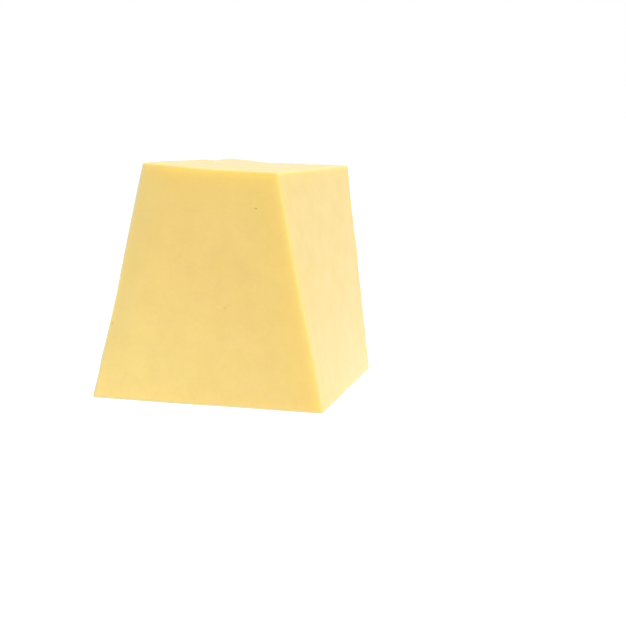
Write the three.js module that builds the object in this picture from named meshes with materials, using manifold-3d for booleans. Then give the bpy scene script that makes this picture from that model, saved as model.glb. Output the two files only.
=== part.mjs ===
// A tall block of cheddar, cut by hand: a flat foot, an upright front and back, and two sides that lean in
// to a smaller top. The right side is slightly twisted, and the top falls away to the right and the back.
// Millimetres, +Z up, the front face towards -Y, the origin in the middle of the foot's box.
import * as THREE from 'three';
import { mergeVertices } from 'three/addons/utils/BufferGeometryUtils.js';
import Module from 'manifold-3d';

// Driving dimensions
const TOP_WIDTH = 60.4;
const DEPTH = 101;
const HEIGHT = 102.5; // at the top's left front corner, the tallest
const LEFT_SPREAD = 25.8; // how far the foot reaches past the top, on each side
const RIGHT_SPREAD_FRONT = 19.8;
const RIGHT_SPREAD_BACK = 11.4;
const TOP_FALL_RIGHT = 3.1; // how much lower the top is at its right and back edges
const TOP_FALL_BACK = 1.2;
const EDGE_RADIUS = 0.8; // a knife leaves the edges soft, not sharp

// Unevenness of the cut faces
const LEFT_HOLLOW = { size: 0.45, height: 46, reach: 14 };
const LEFT_SWELL = { size: 0.3, height: 18, reach: 7 };
const LEFT_TOE = { size: 0.4, height: 1, reach: 7 };
const RIGHT_HOLLOW = { size: 0.25, height: 80, reach: 12 };
const RIGHT_SWELL = { size: 0.3, height: 59, reach: 6 };
const FRONT_TOE = { size: 0.8, across: 0.3, reach: 0.3, reachUp: 16 };
const TOP_FORMS = {
  sag: { size: -0.4, across: 0.55, reach: 0.3, back: 0.5, reachBack: 2 },
  backDip: { size: -0.75, across: 0.32, reach: 0.16, back: 1, reachBack: 0.45 },
  backCrest: { size: 0.4, across: 0.95, reach: 0.2, back: 1, reachBack: 0.45 },
  leftDip: { size: -0.6, across: 0, reach: 0.2, back: 0.79, reachBack: 0.09 },
  leftCrest: { size: 0.4, across: 0, reach: 0.3, back: 0.3, reachBack: 0.35 },
};
const WANDER = { size: 0.1, length: 47, lengthUp: 61 }; // the slow sway of the knife

// Small marks in the front face: a pit, a shallow smear and a nick in the left edge
const PIT = { x: 20.8, z: 84.3, radius: 0.7, stretch: 1, deep: 0.55 };
const SMEAR = { x: 6.6, z: 42.7, radius: 1.1, stretch: 1.8, deep: 0.3 };
const NICK = { x: -46.2, z: 33.5, radius: 0.9, stretch: 1.3, deep: 0.8 };

// Fineness of the mesh
const FACE_STEPS = 20; // between the rounded edges
const EDGE_STEPS = 2; // on each face's half of a rounded edge
const GRID_STEPS = FACE_STEPS + 2 * EDGE_STEPS;
const MARK_DETAIL = 1;

const bell = (distance, reach) => Math.exp(-((distance / reach) ** 2));
const { lerp } = THREE.MathUtils;

// One grid line of a side: its share of the span between the roundings, and its lean out towards an edge.
function gridLine(step) {
  const nearEdge = Math.max(EDGE_STEPS - step, step - EDGE_STEPS - FACE_STEPS, 0);
  const lean = Math.tan((Math.PI / 4) * (nearEdge / EDGE_STEPS));
  return {
    share: THREE.MathUtils.clamp((step - EDGE_STEPS) / FACE_STEPS, 0, 1),
    lean: step < EDGE_STEPS ? -lean : lean,
  };
}

// A length of the block in one direction, with its rounded ends: inner share plus the rounding's own part.
const along = (start, end, share, out) => (
  lerp(start + EDGE_RADIUS, end - EDGE_RADIUS, share) + out * EDGE_RADIUS
);

// The flat-faced block, from the shares and the direction in which its surface is rounded out.
function blockPoint(shares, out) {
  const y = along(-DEPTH / 2, DEPTH / 2, shares.y, out.y);
  const back = y / DEPTH + 0.5;
  const top = HEIGHT - TOP_FALL_RIGHT * shares.x - TOP_FALL_BACK * back;
  const z = along(0, top, shares.z, out.z);
  const up = z / top;
  const rightSpread = lerp(RIGHT_SPREAD_FRONT, RIGHT_SPREAD_BACK, back);
  const left = lerp(-TOP_WIDTH / 2 - LEFT_SPREAD, -TOP_WIDTH / 2, up);
  const right = lerp(TOP_WIDTH / 2 + rightSpread, TOP_WIDTH / 2, up);
  return new THREE.Vector3(along(left, right, shares.x, out.x), y, z);
}

// What a hand-held knife adds: each face's own sway, fading out towards the face across from it.
function addUnevenness(point, across, back, up) {
  const { x, y, z } = point;
  const rise = (mark) => mark.size * bell(z - mark.height, mark.reach);
  const swell = (form) => (
    form.size * bell(across - form.across, form.reach) * bell(back - form.back, form.reachBack)
  );
  const sway = (a, b, turn) => (
    WANDER.size * Math.sin((2 * Math.PI * a) / WANDER.length + turn)
    * Math.cos((2 * Math.PI * b) / WANDER.lengthUp + 2 * turn)
  );
  const leftIn = rise(LEFT_HOLLOW) - rise(LEFT_SWELL) - rise(LEFT_TOE) + sway(y, z, 0.4);
  const rightOut = (rise(RIGHT_SWELL) - rise(RIGHT_HOLLOW)) * back + sway(y, z, 1.9);
  const frontOut = FRONT_TOE.size * bell(across - FRONT_TOE.across, FRONT_TOE.reach)
    * bell(z, FRONT_TOE.reachUp) + sway(x, z, 3.1);
  const backOut = sway(x, z, 4.4);
  const topUp = Object.values(TOP_FORMS).reduce((sum, form) => sum + swell(form), sway(x, y, 5.2));
  point.x += leftIn * (1 - across) ** 2 + rightOut * across ** 2;
  point.y += backOut * back ** 2 - frontOut * (1 - back) ** 2;
  point.z += topUp * up ** 4;
}

function blockGeometry() {
  const geometry = new THREE.BoxGeometry(1, 1, 1, GRID_STEPS, GRID_STEPS, GRID_STEPS);
  const position = geometry.attributes.position;
  const corner = new THREE.Vector3();
  for (let i = 0; i < position.count; i += 1) {
    corner.fromBufferAttribute(position, i).addScalar(0.5).multiplyScalar(GRID_STEPS).round();
    const lines = { x: gridLine(corner.x), y: gridLine(corner.y), z: gridLine(corner.z) };
    const shares = { x: lines.x.share, y: lines.y.share, z: lines.z.share };
    const out = new THREE.Vector3(lines.x.lean, lines.y.lean, lines.z.lean).normalize();
    const point = blockPoint(shares, out);
    addUnevenness(point, shares.x, shares.y, shares.z);
    position.setXYZ(i, point.x, point.y, point.z);
  }
  return geometry;
}

// A small ball, flattened along the face's depth, that reaches `deep` into the front face.
function markGeometry(mark) {
  const geometry = new THREE.IcosahedronGeometry(mark.radius, MARK_DETAIL);
  geometry.scale(mark.stretch, 1, 1);
  geometry.translate(mark.x, -DEPTH / 2 + mark.deep - mark.radius, mark.z);
  return geometry;
}

function toSolid(wasm, geometry) {
  const bare = geometry.clone();
  bare.deleteAttribute('normal');
  bare.deleteAttribute('uv');
  const merged = mergeVertices(bare);
  const mesh = new wasm.Mesh({
    numProp: 3,
    vertProperties: merged.attributes.position.array,
    triVerts: Uint32Array.from(merged.index.array),
  });
  return new wasm.Manifold(mesh);
}

function toGeometry(solid) {
  const mesh = solid.getMesh();
  const geometry = new THREE.BufferGeometry();
  geometry.setAttribute('position', new THREE.BufferAttribute(mesh.vertProperties, 3));
  geometry.setIndex(new THREE.BufferAttribute(mesh.triVerts, 1));
  return geometry;
}

// Stands the block on z = 0 with the origin in the middle of its foot's box.
function standOnOrigin(geometry) {
  geometry.computeBoundingBox();
  const middle = geometry.boundingBox.getCenter(new THREE.Vector3());
  geometry.translate(-middle.x, -middle.y, -geometry.boundingBox.min.z);
  geometry.computeVertexNormals();
  return geometry;
}

const wasm = await Module();
wasm.setup();

let cheddarSolid = toSolid(wasm, blockGeometry());
for (const mark of [PIT, SMEAR, NICK]) {
  cheddarSolid = cheddarSolid.subtract(toSolid(wasm, markGeometry(mark)));
}

const cheddar = new THREE.MeshStandardMaterial({
  name: 'cheddar',
  color: 0xf3d888,
  roughness: 0.5,
  metalness: 0,
});

const block = new THREE.Mesh(standOnOrigin(toGeometry(cheddarSolid)), cheddar);
block.name = 'cheddar_block';

const cheese = new THREE.Group();
cheese.add(block);

export default cheese;
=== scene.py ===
"""A tall block of cheddar on a plain white table, made as one piece, cut by a knife.

Metres, +Z up, the front face towards -Y.
"""

import math
import random

import bmesh
import bpy
from mathutils import Matrix, Vector, noise


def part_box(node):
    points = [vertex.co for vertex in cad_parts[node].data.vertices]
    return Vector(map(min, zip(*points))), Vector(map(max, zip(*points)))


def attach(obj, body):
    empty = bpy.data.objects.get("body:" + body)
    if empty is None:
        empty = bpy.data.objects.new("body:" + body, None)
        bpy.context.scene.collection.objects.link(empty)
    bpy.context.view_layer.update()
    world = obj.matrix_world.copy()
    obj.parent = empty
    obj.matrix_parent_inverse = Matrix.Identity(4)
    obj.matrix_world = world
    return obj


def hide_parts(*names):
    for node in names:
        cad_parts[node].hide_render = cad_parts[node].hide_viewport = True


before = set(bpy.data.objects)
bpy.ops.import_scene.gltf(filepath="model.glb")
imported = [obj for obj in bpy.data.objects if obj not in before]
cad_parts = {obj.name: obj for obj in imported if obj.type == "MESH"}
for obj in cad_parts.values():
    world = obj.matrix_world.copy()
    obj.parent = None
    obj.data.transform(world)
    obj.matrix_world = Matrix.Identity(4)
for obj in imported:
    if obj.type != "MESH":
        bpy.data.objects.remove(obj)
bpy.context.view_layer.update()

MM = 0.001

# The block's driving sizes: its foot reaches past its top on the left and, further in front, on the right
TOP_WIDTH = 60.4 * MM
DEPTH = 101 * MM
HEIGHT = 102.5 * MM  # at the top's left front corner, the tallest
LEFT_SPREAD = 25.8 * MM
RIGHT_SPREAD_FRONT = 19.8 * MM
RIGHT_SPREAD_BACK = 11.4 * MM
TOP_FALL_RIGHT = 3.1 * MM
TOP_FALL_BACK = 1.2 * MM
EDGE_RADIUS = 0.8 * MM

# Fineness of the mesh: each pass divides the edges that are longer than its length
EDGE_STEPS = 4
CUT_PASSES = (20 * MM, 4 * MM)
CUTS = 9
MARK_CUTS = 3

# Unevenness of the cut faces
LEFT_HOLLOW = {"size": 0.45 * MM, "height": 46 * MM, "reach": 14 * MM}
LEFT_SWELL = {"size": 0.3 * MM, "height": 18 * MM, "reach": 7 * MM}
LEFT_TOE = {"size": 0.4 * MM, "height": 1 * MM, "reach": 7 * MM}
RIGHT_HOLLOW = {"size": 0.25 * MM, "height": 80 * MM, "reach": 12 * MM}
RIGHT_SWELL = {"size": 0.3 * MM, "height": 59 * MM, "reach": 6 * MM}
FRONT_TOE = {"size": 0.8 * MM, "across": 0.3, "reach": 0.3, "reach_up": 16 * MM}
TOP_FORMS = {
    "sag": {"size": -0.4 * MM, "across": 0.55, "reach": 0.3, "back": 0.5, "reach_back": 2},
    "back dip": {"size": -0.75 * MM, "across": 0.32, "reach": 0.16, "back": 1, "reach_back": 0.45},
    "back crest": {"size": 0.4 * MM, "across": 0.95, "reach": 0.2, "back": 1, "reach_back": 0.45},
    "left dip": {"size": -0.6 * MM, "across": 0, "reach": 0.2, "back": 0.79, "reach_back": 0.09},
    "left crest": {"size": 0.4 * MM, "across": 0, "reach": 0.3, "back": 0.3, "reach_back": 0.35},
}
SIDE_FADING = 2  # the power by which a side's relief fades towards the side across from it
TOP_FADING = 4

# The slow sway of a hand-held knife, and the turn at which it starts on each face
SWAY = 0.1 * MM
SWAY_LENGTH = 47 * MM
SWAY_LENGTH_UP = 61 * MM
SWAY_START = {"left": 0.4, "right": 1.9, "front": 3.1, "back": 4.4, "top": 5.2}

# Small marks in the front face: a pit, a smear with a low ridge at each end, and a nick in the left edge.
# A ridge is a mark with a negative depth.
PIT = {"x": 20.6 * MM, "z": 84.5 * MM, "radius": 0.3 * MM, "stretch": 2.6, "deep": 0.5 * MM}
SMEAR = {"x": 6.7 * MM, "z": 42.45 * MM, "radius": 0.5 * MM, "stretch": 1.5, "deep": 0.14 * MM}
LEFT_RIDGE = {"x": 3.9 * MM, "z": 43.0 * MM, "radius": 0.55 * MM, "stretch": 2.6, "deep": -0.1 * MM}
RIGHT_RIDGE = {"x": 8.7 * MM, "z": 42.7 * MM, "radius": 0.45 * MM, "stretch": 1.5, "deep": -0.1 * MM}
NICK = {"x": -45.9 * MM, "z": 33.5 * MM, "radius": 0.5 * MM, "stretch": 1.6, "deep": 0.25 * MM}

# A mark's rim wobbles. The mesh is made finer as far as the rim can reach, in radii, and a little further.
RIM_REACH = 1.6
RIM_MARGIN = 1 * MM
RIM_WOBBLE = 0.25
RIM_WOBBLE_LENGTH = 0.6 * MM
FULL_SHADE_DEPTH = 0.7 * MM  # a mark this deep gets the full painted shade
FULL_HIGHLIGHT_SHARE = -0.25  # a ridge of this share of it gets the full painted highlight

# Chance pits in the left side and the back: their places are in shares of the face, their depths in radii
CHANCE_PITS = 8
CHANCE_SEED = 7
CHANCE_SPAN = (0.08, 0.92)
CHANCE_RADIUS = (0.25 * MM, 0.5 * MM)
CHANCE_STRETCH = (1, 2.2)
CHANCE_DEPTH = (0.4, 0.9)

# The cheese's colours, with the glow, highlights and shade painted into it
BOUNCE_PALE = (0.828, 0.659, 0.243, 1)
RICH = (0.783, 0.590, 0.196, 1)
DEEPER = (0.955, 0.946, 0.898, 1)  # multiplied in, for the mottling and the seams
PAINTED_GLOW = (0.84, 0.605, 0.12, 1)
PAINTED_EDGE_HIGHLIGHT = (0.81, 0.70, 0.21, 1)
PAINTED_RIM_SHADE = (0.72, 0.50, 0.28, 1)
PAINTED_LEFT_SHADE = (0.70, 0.565, 0.215, 1)
PAINTED_OUTLINE_SHADE = (0.54, 0.50, 0.37, 1)
PIT_SHADE = (0.61, 0.38, 0.10, 1)
RIDGE_HIGHLIGHT = (0.86, 0.655, 0.231, 1)

# The body colour goes from pale at the lower left to rich at the upper right; the paler foot is painted
# bounce light from the table
SLANT = 0.6  # how much a step to the right counts against a step up
SLANT_SPAN = (-25 * MM, 58 * MM)

# The mottling, of clouds and grain, and the seams between curds
CLOUD = {"scale": 95.0, "detail": 3.0, "roughness": 0.5}
GRAIN = {"scale": 700.0, "detail": 3.0, "roughness": 0.6}
GRAIN_IN_MOTTLE = 0.7
MOTTLE_SPAN = (0.65, 1.05)
MOTTLE_STRENGTH = 0.72
CURD_SCALE = 95.0
CURD_BEND = {"scale": 140.0, "detail": 2.0, "roughness": 0.5}
CURD_BEND_SIZE = 6 * MM
SEAM_WIDTH = 0.09  # as a share of a curd
SEAM_STRENGTH = 0.22

# Painted light and shade along the edges: the distance each goes by, its reach, its strength at the edge
# and its colour
PAINTED_EDGE_LIGHT = (
    # painted glow of light through the lit edges, and a painted highlight close to them
    ("from_lit_edge", 22 * MM, 0.38, PAINTED_GLOW),
    ("from_lit_edge", 5 * MM, 0.6, PAINTED_EDGE_HIGHLIGHT),
    # painted glow under the top's front edge
    ("from_top_edge", 7 * MM, 0.6, PAINTED_GLOW),
    # a darker tone painted right at the lit edges, to soften their highlight
    ("from_lit_edge", 1.8 * MM, 1.0, PAINTED_RIM_SHADE),
    # painted shade, darker towards the left edges, away from the right lamp
    ("from_left_edge", 16 * MM, 0.8, PAINTED_LEFT_SHADE),
    # a painted shaded line along the edges that form the outline from the front right
    ("from_outline_edge", 2 * MM, 1.0, PAINTED_OUTLINE_SHADE),
)
TINT_FADING = 1.5
LIT_SIDE_FADING = 2.5  # a lit edge's painted light reaches the side and the top this many times less far than the front
FOOT_FADING_HEIGHT = 30 * MM  # below this height the left edges' painted shade reaches less and less far, as the table's glow lights the foot
FOOT_FADING = 0.4

# The cheese's gloss, its inner glow and its fine relief
CLOUD_SPAN = (0.3, 0.7)
ROUGHNESS = (0.28, 0.36)
CHEESE_IOR = 1.45
GLOW_RADIUS = (1.0, 0.85, 0.3)
GLOW_DEPTH = 4.5 * MM
DRAG = {"scale": 1.0, "detail": 2.0, "roughness": 0.5}
DRAG_STRETCH = (25, 25, 900)  # the knife's drag is long along a face and fine up it
GRAIN_HEIGHT = 0.6
DRAG_HEIGHT = 0.5
SEAM_DEPTH = 0.5
BUMP_STRENGTH = 0.6
BUMP_DISTANCE = 0.08 * MM

# The table, which glows most under the block
TABLE_REACH = 20  # from its middle to each side
TABLE_COLOUR = (0.45, 0.45, 0.45, 1)
TABLE_ROUGHNESS = 0.9
TABLE_GLOW_SPAN = (0.05, 0.45)
TABLE_GLOW = (0.84, 0.62)

# The light: a white room and two soft lamps
WHITE = (1, 1, 1, 1)
ROOM_STRENGTH = 1.0
LAMPS = {
    "overhead": {"place": Vector((0, 0, 1.2)), "size": 1.0, "power": 4.8},
    "right": {"place": Vector((1.5, 0, 0.3)), "size": 1.0, "power": 2.8},
}

# The camera: where it stands round the block, and how far it is shifted without a turn
VIEW_AZIMUTH = math.radians(18.01)
VIEW_ELEVATION = math.radians(8.60)
VIEW_DISTANCE = 605.8 * MM
VIEW_AIM = Vector((0, 0, 50 * MM))
VIEW_RIGHT = 30.83 * MM
VIEW_UP = -17.08 * MM
LENS = 76.34

# The colour sockets of a Mix node, which share their names with others and go by number
MIX_SHARE = 0
MIX_FIRST = 6
MIX_SECOND = 7
MIX_RESULT = 2


def mix(start, end, share):
    return start + (end - start) * share


def bell(distance, reach):
    return math.exp(-((distance / reach) ** 2))


# The block's form


def side_lines(back, up):
    """Where the left and the right side stand, in X, at a share of the depth and of the height."""
    right_spread = mix(RIGHT_SPREAD_FRONT, RIGHT_SPREAD_BACK, back)
    left = mix(-TOP_WIDTH / 2 - LEFT_SPREAD, -TOP_WIDTH / 2, up)
    right = mix(TOP_WIDTH / 2 + right_spread, TOP_WIDTH / 2, up)
    return left, right


def top_height(across, back):
    return HEIGHT - TOP_FALL_RIGHT * across - TOP_FALL_BACK * back


def block_point(across, back, up):
    left, right = side_lines(back, up)
    x = mix(left, right, across)
    y = mix(-DEPTH / 2, DEPTH / 2, back)
    return Vector((x, y, up * top_height(across, back)))


def shares_of(point):
    """How far across, back and up a point of the block lies, each from 0 to 1."""
    back = point.y / DEPTH + 0.5
    rough_up = point.z / top_height(0.5, back)
    left, right = side_lines(back, rough_up)
    across = (point.x - left) / (right - left)
    return across, back, point.z / top_height(across, back)


def cut_block():
    """The flat-faced block with softened edges, its faces divided into cells of about a millimetre."""
    bm = bmesh.new()
    bmesh.ops.create_cube(bm, size=1)
    for vertex in bm.verts:
        vertex.co = block_point(*(part + 0.5 for part in vertex.co))
    bmesh.ops.bevel(
        bm, geom=bm.edges[:], offset=EDGE_RADIUS, offset_type="OFFSET", affect="EDGES",
        segments=EDGE_STEPS, profile=0.5, material=-1,
    )
    for longest in CUT_PASSES:
        long_edges = [edge for edge in bm.edges if edge.calc_length() > longest]
        bmesh.ops.subdivide_edges(bm, edges=long_edges, cuts=CUTS, use_grid_fill=True)
    return bm


# What the knife leaves


def sway(a, b, face):
    """How far the knife has swayed out, at a place on a face."""
    start = SWAY_START[face]
    wave = math.sin(math.tau * a / SWAY_LENGTH + start)
    return SWAY * wave * math.cos(math.tau * b / SWAY_LENGTH_UP + 2 * start)


def rise(form, z):
    return form["size"] * bell(z - form["height"], form["reach"])


def swell(form, across, back):
    height = form["size"] * bell(across - form["across"], form["reach"])
    return height * bell(back - form["back"], form["reach_back"])


def front_toe(across, z):
    size = FRONT_TOE["size"] * bell(across - FRONT_TOE["across"], FRONT_TOE["reach"])
    return size * bell(z, FRONT_TOE["reach_up"])


def unevenness(point):
    """Each face's own sway, hollows and swells, fading out towards the face across from it."""
    x, y, z = point
    across, back, up = shares_of(point)
    left_in = rise(LEFT_HOLLOW, z) - rise(LEFT_SWELL, z) - rise(LEFT_TOE, z) + sway(y, z, "left")
    right_out = (rise(RIGHT_SWELL, z) - rise(RIGHT_HOLLOW, z)) * back + sway(y, z, "right")
    front_out = front_toe(across, z) + sway(x, z, "front")
    back_out = sway(x, z, "back")
    top_up = sum(swell(form, across, back) for form in TOP_FORMS.values()) + sway(x, y, "top")
    return Vector((
        left_in * (1 - across) ** SIDE_FADING + right_out * across ** SIDE_FADING,
        back_out * back ** SIDE_FADING - front_out * (1 - back) ** SIDE_FADING,
        top_up * max(up, 0) ** TOP_FADING,
    ))


def add_unevenness(bm):
    for vertex in bm.verts:
        vertex.co += unevenness(vertex.co)


# Small marks in the faces


def press_mark(bm, mark_shading, place, radius, stretch, deep):
    """Makes the mesh finer round a place and sinks a small uneven hollow there."""
    nearest = min(bm.verts, key=lambda vertex: (vertex.co - place).length_squared)
    inwards = -nearest.normal
    at = place + inwards * (nearest.co - place).dot(inwards)
    reach = RIM_REACH * radius * stretch
    near = [
        edge for edge in bm.edges
        if all((vertex.co - at).length < reach + RIM_MARGIN for vertex in edge.verts)
    ]
    bmesh.ops.subdivide_edges(bm, edges=near, cuts=MARK_CUTS, use_grid_fill=True)
    sideways = inwards.cross(Vector((0, 0, 1))).normalized()
    for vertex in bm.verts:
        apart = vertex.co - at
        if apart.length > reach:
            continue
        along = apart.dot(sideways)
        upright = apart - inwards * apart.dot(inwards) - sideways * along
        distance = math.hypot(along / stretch, upright.length) / radius
        distance += RIM_WOBBLE * noise.noise(vertex.co / RIM_WOBBLE_LENGTH)
        sunk = math.sqrt(max(1 - distance ** 2, 0))
        # each mark's depth is kept for the painted shade in its hollow and the painted highlight on a
        # ridge
        vertex[mark_shading] = max(vertex[mark_shading], sunk * deep / FULL_SHADE_DEPTH, key=abs)
        vertex.co += inwards * deep * sunk


def press_front_marks(bm, mark_shading):
    for mark in (PIT, SMEAR, LEFT_RIDGE, RIGHT_RIDGE, NICK):
        place = Vector((mark["x"], -DEPTH / 2, mark["z"]))
        press_mark(bm, mark_shading, place, mark["radius"], mark["stretch"], mark["deep"])


def press_chance_pits(bm, mark_shading):
    """Pits by chance in the left side and the back, in turn."""
    chance = random.Random(CHANCE_SEED)
    for number in range(CHANCE_PITS):
        share = chance.uniform(*CHANCE_SPAN)
        height = chance.uniform(*CHANCE_SPAN)
        place = block_point(share, 1, height) if number % 2 else block_point(0, share, height)
        radius = chance.uniform(*CHANCE_RADIUS)
        stretch = chance.uniform(*CHANCE_STRETCH)
        deep = radius * chance.uniform(*CHANCE_DEPTH)
        press_mark(bm, mark_shading, place, radius, stretch, deep)


# The finished block


def corners_of(bm):
    """The lowest and the highest corner of a mesh's box."""
    low = Vector([min(vertex.co[axis] for vertex in bm.verts) for axis in range(3)])
    high = Vector([max(vertex.co[axis] for vertex in bm.verts) for axis in range(3)])
    return low, high


def settle(bm):
    """Lays the block into the frame's box, with its foot flat on the table."""
    low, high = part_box("cheddar_block")
    cut_low, cut_high = corners_of(bm)
    fit = [(high[axis] - low[axis]) / (cut_high[axis] - cut_low[axis]) for axis in range(3)]
    for vertex in bm.verts:
        vertex.co = [low[axis] + (vertex.co[axis] - cut_low[axis]) * fit[axis] for axis in range(3)]


def edge_distances(point):
    """How far a point lies from the nearest edge of each kind, by the further of the edge's two faces."""
    across, back, up = shares_of(point)
    left_line, right_line = side_lines(back, up)
    width = right_line - left_line
    left, right = across * width, (1 - across) * width
    front, rear = back * DEPTH, (1 - back) * DEPTH
    foot, top = up * HEIGHT, (1 - up) * HEIGHT
    behind = LIT_SIDE_FADING * front
    beside = left + FOOT_FADING * max(FOOT_FADING_HEIGHT - foot, 0)
    right_top = (LIT_SIDE_FADING * right, LIT_SIDE_FADING * top)
    edges = {
        "from_lit_edge": ((right, behind), (behind, top), right_top),
        "from_top_edge": ((behind, top),),
        # the edges that form the outline from the front right, for a painted shaded line
        "from_outline_edge": ((left, front), (foot, front), (foot, right), (right, rear)),
        "from_left_edge": ((beside, front), (beside, rear)),
    }
    return {kind: max(min(max(pair) for pair in pairs), 0) for kind, pairs in edges.items()}


def keep_distances(mesh, distances):
    """Keeps the vertices' distances on the mesh, for the material."""
    for kind in distances[0]:
        layer = mesh.attributes.new(kind, "FLOAT", "POINT")
        layer.data.foreach_set("value", [distance[kind] for distance in distances])


def make_block():
    bm = cut_block()
    add_unevenness(bm)
    bm.normal_update()
    # how deep each mark lies, for the painted shade in hollows and the painted highlight on ridges
    mark_shading = bm.verts.layers.float.new("mark_shading")
    press_front_marks(bm, mark_shading)
    press_chance_pits(bm, mark_shading)
    # Round each mark, the step to the finer mesh leaves faces with more than four corners
    around_marks = [face for face in bm.faces if len(face.verts) > 4]
    bmesh.ops.triangulate(bm, faces=around_marks)
    distances = [edge_distances(vertex.co) for vertex in bm.verts]
    settle(bm)
    for face in bm.faces:
        face.smooth = True
    mesh = bpy.data.meshes.new("cheddar")
    bm.to_mesh(mesh)
    bm.free()
    keep_distances(mesh, distances)
    mesh.materials.append(cheddar_material())
    block = bpy.data.objects.new("cheddar", mesh)
    bpy.context.scene.collection.objects.link(block)
    return block


# Materials


class Shading:
    """A material's nodes, made one after another."""

    def __init__(self, name):
        self.material = bpy.data.materials.new(name)
        self.material.use_nodes = True
        self.nodes = self.material.node_tree.nodes
        self.links = self.material.node_tree.links
        self.shader = self.nodes["Principled BSDF"]

    def give(self, socket, value):
        if isinstance(value, bpy.types.NodeSocket):
            self.links.new(value, socket)
        else:
            socket.default_value = value

    def shade(self, **inputs):
        """Sets the shader's own sockets."""
        for name, value in inputs.items():
            self.give(self.shader.inputs[name.replace("_", " ")], value)

    def add(self, kind, settings=None, **inputs):
        node = self.nodes.new(kind)
        for name, value in (settings or {}).items():
            setattr(node, name, value)
        for name, value in inputs.items():
            self.give(node.inputs[name.replace("_", " ")], value)
        return node

    def place(self):
        return self.add("ShaderNodeTexCoord").outputs["Object"]

    def kept(self, name):
        """A value that is kept on the mesh."""
        return self.add("ShaderNodeAttribute", {"attribute_name": name}).outputs["Fac"]

    def noise(self, place, scale, detail, roughness):
        return self.add(
            "ShaderNodeTexNoise", Vector=place, Scale=scale, Detail=detail, Roughness=roughness
        ).outputs

    def math(self, operation, *values):
        node = self.add("ShaderNodeMath", {"operation": operation})
        for socket, value in zip(node.inputs, values):
            self.give(socket, value)
        return node.outputs[0]

    def spread(self, value, span, result):
        """Stretches a value from one span to another, and holds it there past the ends."""
        return self.add(
            "ShaderNodeMapRange", {"clamp": True}, Value=value,
            From_Min=span[0], From_Max=span[1], To_Min=result[0], To_Max=result[1],
        ).outputs[0]

    def blend(self, share, first, second, way="MIX"):
        node = self.add("ShaderNodeMix", {"data_type": "RGBA", "blend_type": way})
        for number, value in ((MIX_SHARE, share), (MIX_FIRST, first), (MIX_SECOND, second)):
            self.give(node.inputs[number], value)
        return node.outputs[MIX_RESULT]


def curd_seams(cheese, place):
    """1 on the seams between curds, 0 inside them."""
    bend = cheese.noise(place, **CURD_BEND)["Color"]
    bent = cheese.add("ShaderNodeVectorMath", {"operation": "MULTIPLY_ADD"})
    for socket, value in zip(bent.inputs, (bend, [CURD_BEND_SIZE] * 3, place)):
        cheese.give(socket, value)
    curds = cheese.add(
        "ShaderNodeTexVoronoi", {"feature": "DISTANCE_TO_EDGE"}, Vector=bent.outputs[0], Scale=CURD_SCALE
    )
    return cheese.spread(curds.outputs["Distance"], (0, SEAM_WIDTH), (1, 0))


def body_colour_and_bounce(cheese, place, cloud, grain, seam):
    """Pale to rich on the slant, the pale foot being painted bounce light from the table, with the
    mottling and the seams.
    """
    parts = cheese.add("ShaderNodeSeparateXYZ", Vector=place).outputs
    slant = cheese.math("ADD", parts["Z"], cheese.math("MULTIPLY", parts["X"], SLANT))
    # painted bounce light from the table: paler towards the foot
    colour = cheese.blend(cheese.spread(slant, SLANT_SPAN, (0, 1)), BOUNCE_PALE, RICH)
    mottle = cheese.math("ADD", cloud, cheese.math("MULTIPLY", grain, GRAIN_IN_MOTTLE))
    mottle = cheese.spread(mottle, MOTTLE_SPAN, (0, MOTTLE_STRENGTH))
    colour = cheese.blend(mottle, colour, DEEPER, "MULTIPLY")
    return cheese.blend(cheese.math("MULTIPLY", seam, SEAM_STRENGTH), colour, DEEPER, "MULTIPLY")


def paint_edge_light(cheese, colour):
    # paints glow, highlights and shade along the edges into the colour
    for kind, reach, strength, tint in PAINTED_EDGE_LIGHT:
        nearness = cheese.spread(cheese.kept(kind), (0, reach), (1, 0))
        rim = cheese.math("MULTIPLY", cheese.math("POWER", nearness, TINT_FADING), strength)
        colour = cheese.blend(rim, colour, tint)
    return colour


def paint_mark_light(cheese, colour):
    """Painted shade where a mark is sunk, a painted highlight where it is raised."""
    mark_shading = cheese.kept("mark_shading")
    # painted shade in the sunk marks
    colour = cheese.blend(cheese.spread(mark_shading, (0, 1), (0, 1)), colour, PIT_SHADE)
    # painted highlight on the raised ridges
    return cheese.blend(cheese.spread(mark_shading, (FULL_HIGHLIGHT_SHARE, 0), (1, 0)), colour, RIDGE_HIGHLIGHT)


def fine_relief(cheese, place, grain, seam):
    """The grain, the knife's drag and the seams, as a bump."""
    drag_place = cheese.add("ShaderNodeMapping", Vector=place, Scale=DRAG_STRETCH).outputs[0]
    drag = cheese.noise(drag_place, **DRAG)[0]
    height = cheese.math("MULTIPLY", grain, GRAIN_HEIGHT)
    height = cheese.math("ADD", height, cheese.math("MULTIPLY", drag, DRAG_HEIGHT))
    height = cheese.math("SUBTRACT", height, cheese.math("MULTIPLY", seam, SEAM_DEPTH))
    bump = cheese.add("ShaderNodeBump", Height=height, Strength=BUMP_STRENGTH, Distance=BUMP_DISTANCE)
    return bump.outputs[0]


def cheddar_material():
    cheese = Shading("cheddar")
    place = cheese.place()
    cloud = cheese.noise(place, **CLOUD)[0]
    grain = cheese.noise(place, **GRAIN)[0]
    seam = curd_seams(cheese, place)
    colour = paint_edge_light(cheese, body_colour_and_bounce(cheese, place, cloud, grain, seam))
    cheese.shade(
        Base_Color=paint_mark_light(cheese, colour),
        Roughness=cheese.spread(cloud, CLOUD_SPAN, ROUGHNESS),
        IOR=CHEESE_IOR,
        Subsurface_Weight=1.0,
        Subsurface_Radius=GLOW_RADIUS,
        Subsurface_Scale=GLOW_DEPTH,
        Normal=fine_relief(cheese, place, grain, seam),
    )
    return cheese.material


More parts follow.
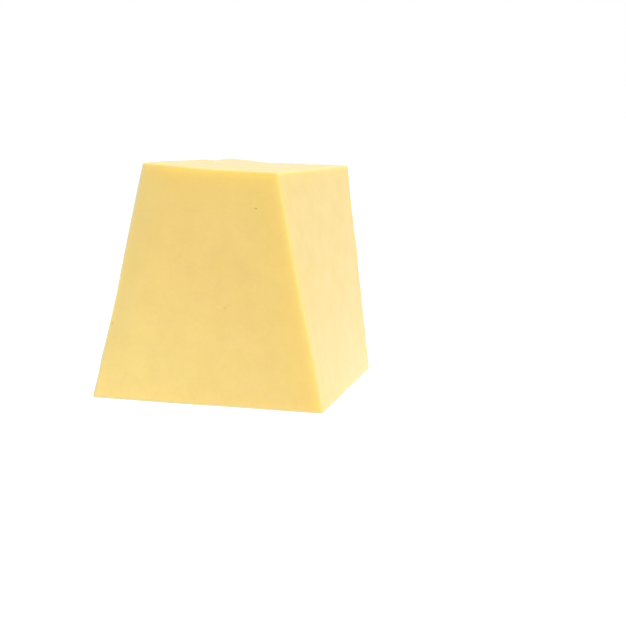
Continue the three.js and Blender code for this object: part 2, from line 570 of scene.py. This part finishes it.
def table_material():
    """White table that glows a little of itself, so that hardly any shadow is left."""
    table = Shading("white_table")
    away = table.add("ShaderNodeVectorMath", {"operation": "LENGTH"}, Vector=table.place())
    table.shade(
        Base_Color=TABLE_COLOUR,
        Roughness=TABLE_ROUGHNESS,
        Specular_IOR_Level=0.0,
        Emission_Color=WHITE,
        Emission_Strength=table.spread(away.outputs["Value"], TABLE_GLOW_SPAN, TABLE_GLOW),
    )
    return table.material


# The table, the light and the camera


def lay_table():
    bm = bmesh.new()
    bmesh.ops.create_grid(bm, x_segments=1, y_segments=1, size=TABLE_REACH)
    mesh = bpy.data.meshes.new("table")
    bm.to_mesh(mesh)
    bm.free()
    mesh.materials.append(table_material())
    table = bpy.data.objects.new("table", mesh)
    bpy.context.scene.collection.objects.link(table)


def hang_lamp(name, place, size, power):
    """A square soft light that faces the foot of the block."""
    light = bpy.data.lights.new(name, "AREA")
    light.size = size
    light.energy = power
    lamp = bpy.data.objects.new(name, light)
    lamp.matrix_world = place.to_track_quat("Z", "Y").to_matrix().to_4x4()
    lamp.location = place
    bpy.context.scene.collection.objects.link(lamp)


def light_room():
    world = bpy.data.worlds.new("white_room")
    world.use_nodes = True
    background = world.node_tree.nodes["Background"]
    background.inputs["Color"].default_value = WHITE
    background.inputs["Strength"].default_value = ROOM_STRENGTH
    bpy.context.scene.world = world
    bpy.context.scene.view_settings.view_transform = "Standard"
    for name, lamp in LAMPS.items():
        hang_lamp(name, **lamp)


def set_camera():
    back = Vector((
        math.sin(VIEW_AZIMUTH) * math.cos(VIEW_ELEVATION),
        -math.cos(VIEW_AZIMUTH) * math.cos(VIEW_ELEVATION),
        math.sin(VIEW_ELEVATION),
    ))
    right = Vector((math.cos(VIEW_AZIMUTH), math.sin(VIEW_AZIMUTH), 0))
    up = back.cross(right)
    camera = bpy.data.objects.new("camera", bpy.data.cameras.new("camera"))
    camera.data.lens = LENS
    camera.matrix_world = Matrix((right, up, back)).transposed().to_4x4()
    camera.location = VIEW_AIM + back * VIEW_DISTANCE + right * VIEW_RIGHT + up * VIEW_UP
    bpy.context.scene.collection.objects.link(camera)
    bpy.context.scene.camera = camera


set_camera()
light_room()
lay_table()

block = make_block()
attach(block, "root")
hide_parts("cheddar_block")
